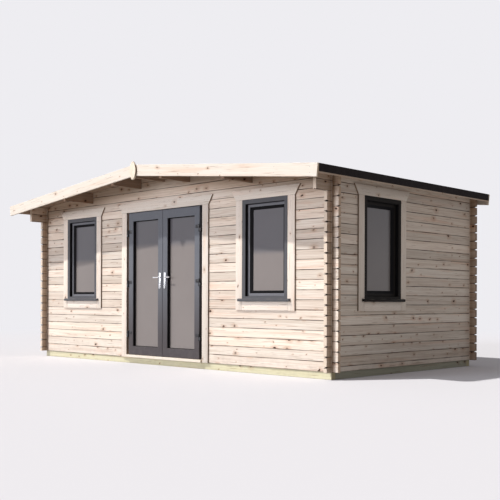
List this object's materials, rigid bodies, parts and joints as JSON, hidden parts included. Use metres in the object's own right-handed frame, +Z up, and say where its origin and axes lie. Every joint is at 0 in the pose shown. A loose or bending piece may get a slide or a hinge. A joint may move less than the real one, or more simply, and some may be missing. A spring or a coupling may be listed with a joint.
{
  "type": "log cabin",
  "caption": "Wide log cabin of interlocking logs with a low apex roof, a deep front overhang, glazed double doors and framed windows.",
  "frame": {"origin": "on the ground under the middle of the cabin's whole bounding box", "axes": "+Z up; +X along the front wall, to the right for a person facing the doors; the front and its doors face -Y"},
  "size_m": [6.134, 3.663, 2.657],
  "materials": {
    "log": "planed bare softwood logs",
    "treated": "pressure-treated timber",
    "floor": "planed boards",
    "purlin": "planed timber",
    "roof_board": "planed boards",
    "trim": "planed bare softwood",
    "threshold": "planed bare softwood",
    "felt": "matt bitumen felt",
    "frame": "anthracite foil, satin",
    "glass": "tinted",
    "handle": "polished",
    "hinge": "black, satin"
  },
  "bodies": {
    "cabin": {"front_bearer": "treated", "back_bearer": "treated", "side_bearers": "treated", "floor_joists": "treated", "floor_boards": "floor", "front_wall_left": "log", "front_wall_right": "log", "front_gable": "log", "back_wall": "log", "back_gable": "log", "left_wall": "log", "right_wall": "log", "ridge_purlin": "purlin", "side_purlins": "purlin", "left_roof_boards": "roof_board", "right_roof_boards": "roof_board", "roof_felt": "felt", "eaves_boards": "roof_board", "front_bargeboards": "trim", "back_bargeboards": "trim", "front_finial": "trim", "back_finial": "trim", "door_frame": "frame", "door_trim": "trim", "door_sill": "threshold", "frame_hinges": "hinge", "front_window_frames": "frame", "front_window_sashes": "frame", "front_window_glass": "glass", "front_window_trims": "trim", "side_window_frames": "frame", "side_window_sashes": "frame", "side_window_glass": "glass", "side_window_trims": "trim"},
    "left_door": {"left_door_leaf": "frame", "left_door_glass": "glass", "left_door_plates": "handle", "left_leaf_hinges": "hinge"},
    "right_door": {"right_door_leaf": "frame", "right_door_glass": "glass", "right_door_plates": "handle", "right_leaf_hinges": "hinge"},
    "left_lever": {"left_door_lever": "handle"},
    "right_lever": {"right_door_lever": "handle"}
  },
  "joints": [
    {"name": "left_door_hinge", "type": "hinge", "parent": "cabin", "child": "left_door", "pos_m": [-0.7275, -1.3315, 1.082], "axis": [0, 0, -1], "range_deg": [0, 100]},
    {"name": "right_door_hinge", "type": "hinge", "parent": "cabin", "child": "right_door", "pos_m": [0.7275, -1.3315, 1.082], "axis": [0, 0, 1], "range_deg": [0, 100]},
    {"name": "left_lever_turn", "type": "hinge", "parent": "left_door", "child": "left_lever", "pos_m": [-0.05, -1.3215, 1.177], "axis": [0, -1, 0], "range_deg": [0, 40], "stiffness_Nm_per_rad": 1.5, "springref_deg": -28.65},
    {"name": "right_lever_turn", "type": "hinge", "parent": "right_door", "child": "right_lever", "pos_m": [0.05, -1.3215, 1.177], "axis": [0, 1, 0], "range_deg": [0, 40], "stiffness_Nm_per_rad": 1.5, "springref_deg": -28.65}
  ]
}
